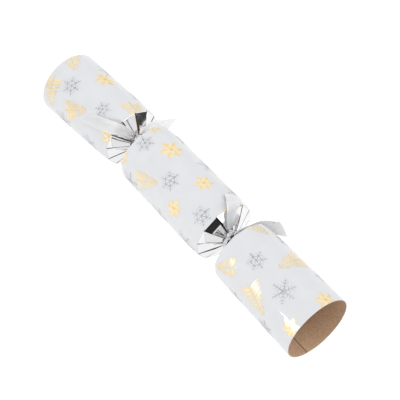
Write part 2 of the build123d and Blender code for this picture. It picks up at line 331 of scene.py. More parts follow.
# Print
# Gold and silver foil is stamped on the flat sheet before it is rolled: gold fir trees and leaf stars, and
# silver snowflakes. They are strewn over the whole sheet, turned any way, and run off its edges at the necks
# and mouths.
foil_lift = 0.00004
layer_lift = 0.0000004
stroke_step = 0.0015
leaf_points = 9
fir_tiers = 8
fir_needles = 3
fir_foot = -0.0085
fir_climb = 0.0185
fir_spread = 0.0080
fir_top_spread = 0.0010
bough_rise = 0.001
arms = 6
arm_turn = pi / 3
figure_sizes = (0.86, 1.12)
print_margin = 0.0002
sheet_round = 2 * pi * barrel_radius


class Figure:
    """A flat foil figure of tapered strokes and leaves, each with its tone, a little above the last."""

    def __init__(self, name):
        self.name = name
        self.points = []
        self.faces = []
        self.tones = []
        self.layer = 0

    def ribbon(self, lefts, rights, tones):
        first = len(self.points)
        height = self.layer * layer_lift
        for left, right, tone in zip(lefts, rights, tones):
            self.points += [(*left, height), (*right, height)]
            self.tones += [tone, tone]
        for step in range(len(lefts) - 1):
            a = first + 2 * step
            self.faces.append((a, a + 1, a + 3, a + 2))
        self.layer += 1

    def stroke(self, start, end, width, tip, tone, fade=0.0, bend=0.0):
        start = np.array(start)
        run = np.array(end) - start
        side = np.array((-run[1], run[0]))
        steps = max(2, round(np.hypot(*run) / stroke_step))
        shares = np.linspace(0, 1, steps + 1)
        middles = start + np.outer(shares, run) + np.outer(bend * shares * (1 - shares), side)
        halves = np.outer((width + (tip - width) * shares) / 2, side / np.hypot(*run))
        self.ribbon(middles - halves, middles + halves, tone + fade * shares)

    def leaf(self, start, end, width, tones, bend=0.0):
        """A pointed leaf in two halves of different tone, on either side of its rib."""
        start = np.array(start)
        run = np.array(end) - start
        side = np.array((-run[1], run[0])) / np.hypot(*run)
        shares = np.linspace(0, 1, leaf_points)
        middles = start + np.outer(shares, run) + np.outer(bend * shares * (1 - shares), side)
        swell = np.outer(width / 2 * np.sin(pi * shares ** 0.8), side)
        self.ribbon(middles - swell, middles, np.full(leaf_points, tones[0]))
        self.ribbon(middles, middles + swell, np.full(leaf_points, tones[1]))

    def stamp(self):
        """The figure as an object that the sheet's strewing can repeat."""
        mesh = bpy.data.meshes.new(self.name)
        mesh.from_pydata(self.points, [], self.faces)
        mesh.attributes.new("tone", "FLOAT", "POINT").data.foreach_set("value", self.tones)
        return bpy.data.objects.new(self.name, mesh)


def fir_tree():
    """A brushed fir tree, 25 mm tall, of drooping boughs with a few needle strokes each."""
    chance = random.Random(21)
    tree = Figure("fir_tree")
    tree.stroke((0, -0.0125), (0, 0.0115), 0.0008, 0.0003, 0.75, -0.2)
    for tier in range(fir_tiers):
        share = tier / (fir_tiers - 1)
        height = fir_foot + fir_climb * share
        foot = height + bough_rise
        reach = fir_spread * (1 - share) ** 0.75 + fir_top_spread
        for side in (-1, 1):
            tip = (side * reach * chance.uniform(0.9, 1.1), height - reach * chance.uniform(0.30, 0.45))
            tree.leaf((0, foot), tip, 0.0022 * (1 - 0.5 * share), (0.12, 0.3), side * 0.0012)
            tree.stroke((0, foot), tip, 0.0006, 0.00025, 0.55, chance.uniform(-0.2, 0.3), side * 0.08)
            for needle in range(fir_needles):
                along = 0.3 + 0.25 * needle
                root = (tip[0] * along, foot + (tip[1] - height) * along)
                end = (root[0] + side * 0.0014, root[1] - chance.uniform(0.0008, 0.0018))
                tree.stroke(root, end, 0.00045, 0.0002, chance.uniform(0.35, 0.9))
    return tree.stamp()


def ray_at(turn):
    return np.array((cos(turn), sin(turn)))


def leaf_star():
    """A star of six pointed leaves, 17 mm across, with a small bead of dots in its heart."""
    star = Figure("leaf_star")
    for number in range(arms):
        turn = arm_turn * number
        for turned, inner, outer, width, tones in ((0, 0.0010, 0.0088, 0.0040, (0.18, 0.5)),
                                                   (arm_turn / 2, 0.0008, 0.0052, 0.0022, (0.05, 0.25))):
            ray = ray_at(turn + turned)
            star.leaf(ray * inner, ray * outer, width, tones, 0.0006)
        ray = ray_at(turn)
        star.stroke(ray * 0.0012, ray * 0.0080, 0.00035, 0.00015, 0.9)
        star.stroke(ray * 0.0005, ray * 0.0013, 0.0008, 0.0005, 1.0)
    return star.stamp()


def snowflake(name, arm, twigs, ring):
    """A line-drawn snowflake: six arms, pairs of twigs given as (share of the arm, length), and a ring."""
    flake = Figure(name)
    for number in range(arms):
        turn = arm_turn * number
        ray = ray_at(turn)
        flake.stroke((0, 0), ray * arm, 0.00042, 0.0003, 0.15 + 0.12 * number)
        for share, length in twigs:
            root = ray * arm * share
            for side in (-1, 1):
                way = ray_at(turn + side * arm_turn)
                flake.stroke(root, root + way * length, 0.00036, 0.00024, 0.2 + 0.5 * share, 0.2)
        flake.stroke(ray * arm * ring, ray_at(turn + arm_turn) * arm * ring, 0.00034, 0.00034, 0.35)
    return flake.stamp()


def strewing_tree():
    """Geometry nodes that strew two figures over a flat sheet on a loosened grid, each turned at random."""
    tree = bpy.data.node_groups.new("strewn_foil", "GeometryNodeTree")
    tree.interface.new_socket("Geometry", in_out="OUTPUT", socket_type="NodeSocketGeometry")
    sockets = {}
    for name, kind in (("Length", "Float"), ("Round", "Float"), ("Pitch", "Float"), ("Shift", "Vector"),
                       ("Loosening", "Float"), ("Seed", "Int"), ("Large figure", "Object"),
                       ("Small figure", "Object"), ("Foil", "Material")):
        made = tree.interface.new_socket(name, in_out="INPUT", socket_type="NodeSocket" + kind)
        sockets[name] = made.identifier
    given = tree.nodes.new("NodeGroupInput").outputs

    def node(kind, inputs, **settings):
        return tree_node(tree, kind, inputs, **settings)

    counts = {}
    spans = {}
    for way in ("Length", "Round"):
        whole = math_node(tree, "ROUND", math_node(tree, "DIVIDE", given[way], given["Pitch"]))
        counts[way] = math_node(tree, "ADD", whole, 1.0)
        spans[way] = math_node(tree, "MULTIPLY", whole, given["Pitch"])
    grid = node("GeometryNodeMeshGrid", {"Size X": spans["Length"], "Size Y": spans["Round"],
                                         "Vertices X": counts["Length"], "Vertices Y": counts["Round"]})
    low = math_node(tree, "MULTIPLY", given["Loosening"], -1.0)
    far = node("ShaderNodeCombineXYZ", {"X": given["Loosening"], "Y": given["Loosening"]})
    near = node("ShaderNodeCombineXYZ", {"X": low, "Y": low})
    stray = node("FunctionNodeRandomValue", {0: near.outputs[0], 1: far.outputs[0], "Seed": given["Seed"]},
                 data_type="FLOAT_VECTOR")
    offset = node("ShaderNodeVectorMath", {0: stray.outputs["Value"], 1: given["Shift"]}, operation="ADD")
    spots = node("GeometryNodeSetPosition", {"Geometry": grid.outputs["Mesh"],
                                             "Offset": offset.outputs["Vector"]})
    figures = node("GeometryNodeJoinGeometry", {})
    for name in ("Small figure", "Large figure"):
        figure = node("GeometryNodeObjectInfo", {"Object": given[name], "As Instance": True})
        tree.links.new(figure.outputs["Geometry"], figures.inputs["Geometry"])
    turn = node("FunctionNodeRandomValue", {2: 0.0, 3: 2 * pi, "Seed": given["Seed"]}, data_type="FLOAT")
    spin = node("ShaderNodeCombineXYZ", {"Z": turn.outputs[1]})
    rotation = node("FunctionNodeEulerToRotation", {"Euler": spin.outputs["Vector"]})
    pick = node("FunctionNodeRandomValue", {4: 0, 5: 1, "Seed": given["Seed"]}, data_type="INT")
    small, large = figure_sizes
    size = node("FunctionNodeRandomValue", {2: small, 3: large, "Seed": given["Seed"]}, data_type="FLOAT")
    strewn = node("GeometryNodeInstanceOnPoints", {
        "Points": spots.outputs["Geometry"], "Instance": figures.outputs["Geometry"], "Pick Instance": True,
        "Instance Index": pick.outputs[2], "Rotation": rotation.outputs["Rotation"],
        "Scale": size.outputs[1]})
    real = node("GeometryNodeRealizeInstances", {"Geometry": strewn.outputs["Instances"]})
    foiled = node("GeometryNodeSetMaterial", {"Geometry": real.outputs["Geometry"],
                                              "Material": given["Foil"]})
    done = tree.nodes.new("NodeGroupOutput")
    tree.links.new(foiled.outputs["Geometry"], done.inputs["Geometry"])
    return tree, sockets


def foil_print(name, tube, tree, sockets, **inputs):
    """One foil's figures on a tube: strewn on the flat sheet, cut at its edges and rolled with the card."""
    sheet = placed(name, bpy.data.meshes.new(name))
    strewing = sheet.modifiers.new("strewn_foil", "NODES")
    strewing.node_group = tree
    length = abs(tube.ends[1] - tube.ends[0])
    for socket, value in {"Length": length, "Round": sheet_round, **inputs}.items():
        strewing[sockets[socket.replace("_", " ")]] = value
    mesh = bpy.data.meshes.new_from_object(sheet.evaluated_get(bpy.context.evaluated_depsgraph_get()))
    sheet.modifiers.remove(strewing)
    work = bmesh.new()
    work.from_mesh(mesh)
    reach = Vector((length / 2 - print_margin, sheet_round / 2 - print_margin, 0))
    for axis in (Vector((1, 0, 0)), Vector((0, 1, 0))):
        for way in (-1, 1):
            everything = work.verts[:] + work.edges[:] + work.faces[:]
            bmesh.ops.bisect_plane(work, geom=everything, plane_co=axis * axis.dot(reach) * way,
                                   plane_no=axis * way, clear_outer=True)
    bmesh.ops.reverse_faces(work, faces=work.faces)
    work.to_mesh(mesh)
    work.free()
    places = np.zeros(len(mesh.vertices) * 3)
    mesh.vertices.foreach_get("co", places)
    along, around, height = places.reshape(-1, 3).T
    place = (tube.ends[0] + tube.ends[1]) / 2 + along
    turned = lap_angle + np.degrees((around + sheet_round / 2) / barrel_radius)
    rolled = tube.point(place, seam_angle + turned, tube.card(place, turned, 0) + foil_lift + height)
    mesh.vertices.foreach_set("co", rolled.ravel())
    mesh.polygons.foreach_set("use_smooth", [True] * len(mesh.polygons))
    sheet.data = mesh
    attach(sheet, tube.body)


gold_finish = Finish("gold_foil_print", Metallic=0.55)
gold_finish.colour(gold_finish.tone("tone", (420, 420, 420), 0.35),
                   (0.0, (0.86, 0.75, 0.54)), (0.5, (0.82, 0.64, 0.32)), (1.0, (0.72, 0.49, 0.15)))
gold_finish.roughness(gold_finish.noise((500, 500, 500)), 0.26, 0.42)
silver_finish = Finish("silver_foil_print", Metallic=0.8)
silver_finish.colour(silver_finish.tone("tone", (300, 300, 300), 0.5),
                     (0.0, (0.16, 0.16, 0.17)), (0.5, (0.42, 0.42, 0.44)), (1.0, (0.66, 0.66, 0.68)))
silver_finish.roughness(silver_finish.noise((500, 500, 500)), 0.24, 0.4)

strewing, strewing_sockets = strewing_tree()
gold_figures = (fir_tree(), leaf_star())
silver_figures = (snowflake("large_flake", 0.0100, ((0.35, 0.0028), (0.6, 0.0030), (0.82, 0.0017)), 0.22),
                  snowflake("small_flake", 0.0078, ((0.5, 0.0030), (0.75, 0.0018)), 0.5))
print_pitch = 0.0355
print_loosening = 0.005
half_pitch = (print_pitch / 2, print_pitch / 2, 0)
foils = (("gold", 0, (0, 0, 0), gold_figures, gold_finish),
         ("silver", 1, half_pitch, silver_figures, silver_finish))
for tube, seed in ((barrel, 4), (left_end, 11), (right_end, 17)):
    for foil, later, shift, (large, small), finish in foils:
        foil_print(tube.body + "_" + foil + "_print", tube, strewing, strewing_sockets, Pitch=print_pitch,
                   Shift=shift, Loosening=print_loosening, Seed=seed + later, Large_figure=large,
                   Small_figure=small, Foil=finish.material)
for figure in gold_figures + silver_figures:
    bpy.data.objects.remove(figure)


# Slit necks
# At each neck the foiled card is slit into twelve strips, which fold in at the rim and run down to the tie.
# Their faces are bright silver and their backs bare kraft; their cut edges carry painted shade for the slits.
# No two lie quite alike.
foil_board = 0.0004
choke_radius = 0.006
slit_width = 0.0011
cone_depth = 0.008525
barrel_collar = 0.00115
end_collar = 0.00165
fold_reach = 0.0007
fold_depth = 0.25
arch_edge = 22
curl_rest = 0.4
strip_rows = 40
row_ease = 0.5
strip_columns = 7
strip_ranges = ((-0.0003, 0.0005), (0.35, 0.65), (-0.00025, 0.00025), (-0.0002, 0.0001), (-0.0001, 0.00025))
throat_apothem = choke_radius * cos(radians(facet_angle / 2))

foil_finish = Finish("silver_foil", Metallic=1.0, Base_Color=(0.83, 0.83, 0.84, 1.0))
foil_finish.roughness(foil_finish.noise((220, 220, 220), 3), 0.04, 0.12)
foil_finish.bump(foil_finish.noise((160, 160, 160), 2), 0.0003, 0.05)
# The strips' cut edges are painted near-black: painted shade for the dark slits between the strips.
slit_shade_finish = Finish("slit_edge_painted_shade", Specular_IOR_Level=0.2).grain(
    (1200, 1200, 1200), 6, ((0.3, (0.055, 0.044, 0.037)), (0.7, (0.14, 0.115, 0.098))), (0.75, 0.95))


def spread(number, count):
    """The place of one of a count of evenly spaced points, from -1 to 1."""
    return 2 * number / (count - 1) - 1


def arch(share, peak):
    """A bend's height along a strip: an even rise to its peak and an even fall, with a rounded top."""
    rise = np.exp(-arch_edge * share / peak) + np.exp(-arch_edge * (1 - share) / (1 - peak))
    ends = np.log(1 + np.exp(-arch_edge / min(peak, 1 - peak)))
    return -(np.log(rise) - ends * abs(1 - 2 * share)) / arch_edge


def neck_strip(tube, rim, inward, number, collar, bow, peak, tilt, curl, wedge):
    """Points of one strip, front then back: from a fold at the rim to the throat, then the collar."""
    angle = corner_angle + (number + 0.5) * facet_angle
    turned = (angle - seam_angle) % 360
    if turned < lap_angle:
        turned += 360
    start = float(tube.card(np.array(rim), np.array(turned), 0))
    fall = start - throat_apothem
    slant = np.hypot(fall, cone_depth)
    run = np.array((-fall, cone_depth)) / slant
    normal = np.array((cone_depth, fall)) / slant
    ray = np.cos(np.radians(angle)) * tube.side + np.sin(np.radians(angle)) * tube.up
    round_way = -np.sin(np.radians(angle)) * tube.side + np.cos(np.radians(angle)) * tube.up
    rim_half = start * np.tan(np.radians(facet_angle / 2)) - slit_width / 2
    throat_half = throat_apothem * np.tan(np.radians(facet_angle / 2)) - slit_width / 4
    front = []
    back = []
    for row in range(strip_rows):
        share = row / (strip_rows - 1)
        share = share * share * (3 - 2 * share) * row_ease + share * (1 - row_ease)
        down = share * slant
        middle = np.array((start, 0.0)) + run * down
        bend = max(0.0, arch(share, peak))
        fold = max(0.0, 1 - down / fold_reach) ** 2 * fold_reach * fold_depth
        half = rim_half + (throat_half - rim_half) * share - wedge * sin(pi * share)
        for column in range(strip_columns):
            across = spread(column, strip_columns)
            height = bend * (bow + tilt * across + curl * (across * across - curl_rest))
            reach, depth = middle + normal * (height - fold)
            for side, inset in ((front, 0), (back, foil_board)):
                deep = np.array((reach, depth)) - normal * inset
                place = tube.origin + tube.along * (rim + inward * deep[1])
                side.append(place + ray * deep[0] + round_way * across * half)
    for column in range(strip_columns):
        across = spread(column, strip_columns)
        for side, inset in ((front, 0), (back, foil_board)):
            place = tube.origin + tube.along * (rim + inward * (cone_depth + collar))
            side.append(place + ray * (throat_apothem - inset) + round_way * across * throat_half)
    return np.concatenate((front, back))


def slit_neck(name, tube, rim, inward, collar, seed, chosen):
    """A ring of strips on a tube's rim. The chosen ones have their own bow, peak, tilt, curl and wedge."""
    chance = random.Random(seed)
    points = []
    faces = []
    slots = []
    strip_faces, strip_slots = shell_faces(strip_rows + 1, strip_columns)
    for number in range(facet_count):
        shape = chosen.get(number, [chance.uniform(*limits) for limits in strip_ranges])
        start = sum(len(part) for part in points)
        points.append(neck_strip(tube, rim, inward, number, collar, *shape))
        faces += [tuple(start + corner for corner in face) for face in strip_faces]
        slots += strip_slots
    materials = (foil_finish.material, kraft_finish.material, slit_shade_finish.material)
    piece = mesh_piece(name, np.concatenate(points), faces, materials, slots)
    turn_outwards(piece)
    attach(piece, tube.body)
    return piece


barrel_right_bends = {2: (0.0011, 0.3, 0.0011, 0, 0.0003), 3: (0.00231, 0.31, 0, 0, 0.0001),
                      4: (0.0003, 0.3, 0, 0, 0)}
left_end_bends = {1: (0.00227, 0.55, -0.00045, 0, 0.0001), 2: (-0.0001, 0.5, 0, 0, 0),
                  4: (0.0003, 0.5, 0, 0, 0.0001)}
for name, tube, rim, inward, collar, seed, bends in (
        ("barrel_left", barrel, -barrel_half, -1, barrel_collar, 3, {}),
        ("barrel_right", barrel, barrel_half, 1, barrel_collar, 5, barrel_right_bends),
        ("left_end", left_end, -end_rim, 1, end_collar, 7, left_end_bends),
        ("right_end", right_end, end_rim, -1, end_collar, 9, {})):
    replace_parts(slit_neck(name + "_strips", tube, rim, inward, collar, seed, bends), name + "_pleats")


# Liner
# A plain tube of kraft board inside the barrel keeps it round. It is slid in before the second neck is tied.
liner_finish = Finish("liner_board", Specular_IOR_Level=0.25).grain(
    (180, 1100, 1100), 8,
    ((0.25, (0.30, 0.20, 0.125)), (0.55, (0.43, 0.30, 0.20)), (0.8, (0.52, 0.385, 0.27))),
    (0.8, 0.95), (0.0001, 0.5))


def dress(node, finish):
    """Gives a CAD node a finish in place of its plain colour."""
    materials = frame["nodes"][node].data.materials
    materials.clear()
    materials.append(finish.material)


dress("barrel_liner", liner_finish)


# Snap
# Two strips of grey board lap in the middle of the barrel with a dab of charge between them. A paper sleeve
# is glued over the lap, and the strips run out through both necks.
snap_finish = Finish("grey_board", Specular_IOR_Level=0.3).grain(
    (700, 1600, 1600), 8,
    ((0.25, (0.40, 0.36, 0.29)), (0.5, (0.56, 0.51, 0.43)), (0.8, (0.68, 0.64, 0.56))),
    (0.7, 0.9), (0.00008, 0.5))
charge_finish = Finish("dried_charge", Specular_IOR_Level=0.3).grain(
    (3000, 3000, 3000), 6, ((0.3, (0.022, 0.020, 0.019)), (0.7, (0.085, 0.075, 0.068))),
    (0.7, 1.0), (0.0001, 0.8))
sleeve_finish = Finish("sleeve_paper", Specular_IOR_Level=0.3).grain(
    (900, 2400, 2400), 7, ((0.3, (0.55, 0.50, 0.41)), (0.7, (0.70, 0.65, 0.55))),
    (0.75, 0.92), (0.00005, 0.5))
for side in ("left", "right"):
    dress(side + "_snap_strip", snap_finish)
    dress(side + "_snap_charge", charge_finish)
dress("snap_sleeve", sleeve_finish)


# Contents
# A tissue crown folded flat lies on the liner with the motto slip on it, beside a moulded spinning top.
# The crown is one strip of red tissue, its upper edge cut in points, laid in even folds.
hat_folds = 12
hat_gap = 0.0003
hat_tissue = 0.00008
hat_point = 0.009
hat_trim = 0.0005
hat_rounding = 0.18
hat_rows = 8
hat_fold_points = 9
fold_range = (0.84, 0.96)
least_normal = 1e-12
sheet_sharp = 60

tissue_finish = Finish("red_tissue", Specular_IOR_Level=0.2, Sheen_Weight=0.25).grain(
    (900, 900, 900), 7, ((0.3, (0.36, 0.018, 0.025)), (0.7, (0.56, 0.045, 0.05))), (0.75, 0.95))
tissue_finish.bump(tissue_finish.noise((260, 260, 1200), 5), 0.0002, 0.5)


def thin_sheet(name, grid, thickness, finish, flat_places):
    """A sheet of even thickness on a grid of points, given as rows of places in space and when flat."""
    grid = np.asarray(grid)
    rows, columns = grid.shape[:2]
    down = np.gradient(grid, axis=0)
    over = np.gradient(grid, axis=1)
    normal = np.cross(down, over)
    normal /= np.maximum(np.linalg.norm(normal, axis=2, keepdims=True), least_normal)
    points = np.concatenate((grid + normal * thickness / 2, grid - normal * thickness / 2)).reshape(-1, 3)
    faces, slots = shell_faces(rows, columns)
    flat = np.tile(np.asarray(flat_places).reshape(-1, 2), (2, 1))
    piece = mesh_piece(name, points, faces, (finish.material,), [0] * len(faces), sheet_sharp, flat)
    turn_outwards(piece)
    return piece


hat_low, hat_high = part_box("paper_hat")
hat_middle = (hat_low + hat_high) / 2
hat_half = (hat_high.y - hat_low.y) / 2
hat_layer = (hat_high.z - hat_low.z - 2 * hat_gap) / hat_folds
hat_chance = random.Random(6)
fold_places = [(-1) ** number * hat_half * hat_chance.uniform(*fold_range) for number in range(hat_folds + 1)]
hat_grid = []
hat_flat = []
unrolled = 0.0
for fold in range(hat_folds):
    for step in range(hat_fold_points):
        share = step / hat_fold_points
        ease = 0.5 - 0.5 * cos(pi * share)
        height = hat_low.z + hat_gap + hat_layer * (fold + share)
        rise = 2 * (height - hat_middle.z) / (hat_high.z - hat_low.z)
        across = fold_places[fold] + (fold_places[fold + 1] - fold_places[fold]) * ease
        across *= 1 - hat_rounding * rise ** 4
        point_end = hat_high.x - hat_point * abs(across) / hat_half
        reach = point_end - hat_low.x - 2 * hat_trim
        line = [hat_low.x + hat_trim + reach * row / (hat_rows - 1) for row in range(hat_rows)]
        hat_grid.append([(along, hat_middle.y + across, height) for along in line])
        unrolled += hat_half * 2 / hat_fold_points
        hat_flat.append([(along - hat_low.x, unrolled) for along in line])
paper_crown = thin_sheet("folded_paper_crown", hat_grid, hat_tissue, tissue_finish, hat_flat)
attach(paper_crown, "barrel")
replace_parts(paper_crown, "paper_hat")

motto_finish = Finish("motto_paper", Specular_IOR_Level=0.3).grain(
    (1500, 1500, 1500), 7, ((0.3, (0.76, 0.74, 0.69)), (0.7, (0.86, 0.85, 0.81))),
    (0.7, 0.88), (0.00004, 0.4))
dress("motto_slip", motto_finish)
toy_finish = Finish("moulded_blue", Coat_Weight=0.2, Coat_Roughness=0.15).grain(
    (160, 160, 160), 3, ((0.3, (0.012, 0.065, 0.235)), (0.7, (0.022, 0.10, 0.33))), (0.24, 0.38))
toy_finish.bump(toy_finish.noise((2500, 2500, 2500)), 0.00003, 0.3)
dress("spinning_top", toy_finish)


# Ribbon
# White satin ribbon, 10 mm wide, is pulled tight round each neck, knotted on top and cut on a slant. Under
# the pull it folds into a crumpled cord, and past the knot its two ends spread out again.
ribbon_width = 0.010
ribbon_thickness = 0.00018
tie_floor = 0.00655
tie_layers = 3
tie_layer_rise = 0.00048
tie_half = 0.00165
tie_spread = 0.08
tie_narrowing = 0.10
tie_crown = 0.0002
tie_flat_share = 1.12
tie_rows = 150
tie_columns = 25
tie_wave_counts = (2, 3, 5, 7)
tie_wave_shares = (0.08, 0.24)
crumple_waves = ((0.00011, 9, 900, 1), (0.00007, 17, -1500, 2))
knot_angle = 100
knot_cover = 13

ribbon_finish = Finish("white_satin", Sheen_Weight=0.2, Sheen_Roughness=0.4, Specular_IOR_Level=0.5,
                       Subsurface_Weight=1.0, Subsurface_Radius=(1.0, 1.0, 1.0), Subsurface_Scale=0.0006)
ribbon_finish.grain((240, 40, 1), 4, ((0.3, (0.65, 0.65, 0.66)), (0.7, (0.69, 0.69, 0.70))), (0.34, 0.46),
                    output="UV")
ribbon_threads = []
for stretch in ((4000, 0, 0), (0, 2600, 0)):
    way = ribbon_finish.coordinates(stretch, "UV")
    threads = ribbon_finish.node("ShaderNodeTexWave", {"Vector": way, "Scale": 0.32, "Distortion": 0.4},
                                 bands_direction="DIAGONAL")
    ribbon_threads.append(threads.outputs["Fac"])
ribbon_finish.bump(math_node(ribbon_finish.tree, "MULTIPLY", *ribbon_threads), 0.00004, 0.5)


def crumple(angle, along, chance_turn):
    """Soft creases that run slantwise round a tie, in metres."""
    turn = radians(angle)
    return sum(height * sin(around * turn + slant * along + start * chance_turn)
               for height, around, slant, start in crumple_waves)


def ribbon_tie(name, neck, body, seed):
    """The ribbon's turn round the neck: three folds laid over each other, with edges that wander."""
    chance = random.Random(seed)
    waves = [[(chance.choice(tie_wave_counts), chance.uniform(0, 2 * pi), chance.uniform(*tie_wave_shares))
              for _ in range(3)] for _ in range(tie_layers + 1)]
    grid = []
    flat = []
    for row in range(tie_rows):
        angle = knot_angle + knot_cover + (360 - 2 * knot_cover) * row / (tie_rows - 1)
        turn = radians(angle)
        edges = []
        for fold, wave in enumerate(waves):
            wander = min(tie_spread, sum(share * sin(count * turn + start) for count, start, share in wave))
            edges.append((-1) ** fold * tie_half * (1 - tie_narrowing * fold + wander))
        line = []
        flat_line = []
        for column in range(tie_columns):
            share = tie_layers * column / (tie_columns - 1)
            fold = min(int(share), tie_layers - 1)
            ease = 0.5 - 0.5 * cos(pi * (share - fold))
            along = edges[fold] + (edges[fold + 1] - edges[fold]) * ease
            crown = tie_crown * (1 - (along / tie_half) ** 2) * share / tie_layers
            reach = tie_floor + tie_layer_rise * share + crown + crumple(angle, along, seed)
            line.append(neck + Vector((along, cos(turn) * reach, sin(turn) * reach)))
            flat_line.append((ribbon_width * column / (tie_columns - 1), turn * tie_floor * tie_flat_share))
        grid.append(line)
        flat.append(flat_line)
    tie = thin_sheet(name, grid, ribbon_thickness, ribbon_finish, flat)
    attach(tie, body)
    return tie


knot_place = 0.01015
knot_half_across = 0.0031
knot_half_along = 0.00165
knot_half_height = 0.00175
knot_rings = 27
knot_spokes = 48
knot_taper = 0.5
knot_waist = 0.84
knot_waist_reach = 0.5
knot_cap = 1.06
knot_creases = ((0.06, 6, 2.4), (0.05, 11, -3))
band_half = 0.0014
band_size = 0.86
band_columns = 13
band_lean = 0.0003
band_proud = 0.00022
band_ridge = 0.00011
band_ridge_count = 2.5
band_ridge_sway = 0.8
band_edge_drop = 0.0003


def ribbon_knot(name, neck, body, seed):
    """The knot: a bunched lump of ribbon, pinched in the middle by one creased turn that crosses over it."""
    chance = random.Random(seed)
    starts = [chance.uniform(0, 2 * pi) for _ in range(4)]
    turn = radians(knot_angle)
    outward = Vector((0, cos(turn), sin(turn)))
    across = Vector((0, -sin(turn), cos(turn)))
    middle = neck + outward * knot_place

    def place(side, spoke, along, height):
        return middle + across * side + Vector((1, 0, 0)) * along * cos(spoke) + outward * height * sin(spoke)

    points = []
    flat = []
    faces = []
    for ring in range(knot_rings):
        share = spread(ring, knot_rings)
        waist = knot_waist + (1 - knot_waist) * min(1, (share / knot_waist_reach) ** 2)
        size = (1 - knot_taper * abs(share) ** 3) * waist
        for number in range(knot_spokes):
            spoke = 2 * pi * number / knot_spokes
            crease = sum(height * sin(count * spoke + slant * share + start)
                         for (height, count, slant), start in zip(knot_creases, starts))
            puff = size * (1 + crease)
            points.append(place(knot_half_across * share, spoke, knot_half_along * puff,
                                knot_half_height * puff))
            flat.append((knot_half_across * share, knot_half_along * spoke))
    for ring in range(knot_rings - 1):
        for number in range(knot_spokes):
            after = (number + 1) % knot_spokes
            a, b = ring * knot_spokes + number, ring * knot_spokes + after
            faces.append((a, b, b + knot_spokes, a + knot_spokes))
    for ring, way in ((0, -1), (knot_rings - 1, 1)):
        points.append(place(knot_half_across * way * knot_cap, 0, 0, 0))
        flat.append((knot_half_across * way, 0))
        for number in range(knot_spokes):
            after = (number + 1) % knot_spokes
            faces.append((ring * knot_spokes + number, ring * knot_spokes + after, len(points) - 1))
    first = len(points)
    for number in range(knot_spokes + 1):
        spoke = 2 * pi * number / knot_spokes - pi / 2
        lean = band_lean * sin(spoke + starts[2])
        sway = band_ridge_sway * sin(2 * spoke + starts[3])
        for column in range(band_columns):
            share = spread(column, band_columns)
            ridge = band_ridge * cos(band_ridge_count * pi * share + sway)
            proud = band_proud + ridge - band_edge_drop * share ** 6
            points.append(place(band_half * share + lean, spoke, knot_half_along * band_size + proud,
                                knot_half_height * band_size + proud))
            flat.append((band_half * share, knot_half_along * spoke))
    for number in range(knot_spokes):
        for column in range(band_columns - 1):
            a = first + number * band_columns + column
            faces.append((a, a + 1, a + band_columns + 1, a + band_columns))
    knot = mesh_piece(name, points, faces, (ribbon_finish.material,), [0] * len(faces), sheet_sharp, flat)
    turn_outwards(knot)
    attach(knot, body)
    return knot


tail_rows = 70
tail_columns = 17
root_gather = (0.4, 0.75)
root_pleats = 5
pleat_height = 0.0009
wave_height = 0.00025
wave_pace = 190
cup_rest = 0.35
path_steps = 400
path_glance = 0.01


def through(stations, share):
    """A smooth line through evenly numbered stations, as a blend of neighbouring parabolas."""
    stations = np.asarray(stations, dtype=float)
    place = share * (len(stations) - 1)
    number = int(np.clip(np.floor(place), 0, len(stations) - 2))
    step = place - number
    before = stations[number - 1] if number else 2 * stations[0] - stations[1]
    a, b = stations[number], stations[number + 1]
    after = stations[number + 2] if number + 2 < len(stations) else 2 * b - a
    return b * step + a * (1 - step) + step * (1 - step) * (
        (1 - step) * (2 * a - before - b) + step * (2 * b - a - after)) / 2


def ribbon_tail(name, tube, neck, way, stations, cut_lead, curl, seed):
    """A free ribbon end, cut on a slant. Its stations are places along, reaches, angles and ways across."""
    chance = random.Random(seed)
    origin = np.array(neck)
    middles = []
    acrosses = []
    for along, reach, angle, across in stations:
        turn = radians(angle)
        round_way = (0, -sin(turn), cos(turn))
        on_axis = origin + tube.along * way * along
        middles.append(on_axis + tube.side * cos(turn) * reach + tube.up * sin(turn) * reach)
        ahead, side, up = across or round_way
        acrosses.append(tube.along * way * ahead + tube.side * side + tube.up * up)
    gathers = list(root_gather) + [1.0] * (len(stations) - len(root_gather))
    fine = [through(middles, step / path_steps) for step in range(path_steps + 1)]
    lengths = np.concatenate(([0], np.cumsum(np.linalg.norm(np.diff(fine, axis=0), axis=1))))
    length = lengths[-1]
    start = chance.uniform(0, 2 * pi)
    grid = np.zeros((tail_rows, tail_columns, 3))
    flat = np.zeros((tail_rows, tail_columns, 2))
    for row in range(tail_rows):
        for column in range(tail_columns):
            side = spread(column, tail_columns)
            run = (length + cut_lead * side / 2) * row / (tail_rows - 1)
            share = np.interp(run, lengths, np.linspace(0, 1, path_steps + 1))
            ahead = through(middles, min(share + path_glance, 1)) - through(middles, share - path_glance)
            ahead /= np.linalg.norm(ahead)
            across = through(acrosses, share)
            across -= ahead * across.dot(ahead)
            across /= np.linalg.norm(across)
            face = np.cross(ahead, across)
            gather = np.interp(share * (len(stations) - 1), range(len(stations)), gathers)
            pleat = pleat_height * (1 - gather) * cos(root_pleats * pi * side + start)
            wave = wave_height * gather * sin(run * wave_pace + start) * side
            cup = curl * gather * (side * side - cup_rest)
            past_end = max(0, run - length)
            on_path = through(middles, share) + ahead * past_end
            grid[row, column] = (on_path + across * side * gather * ribbon_width / 2
                                 + face * (pleat + wave + cup))
            flat[row, column] = (side * ribbon_width / 2, run)
    tail = thin_sheet(name, grid, ribbon_thickness, ribbon_finish, flat)
    return tail


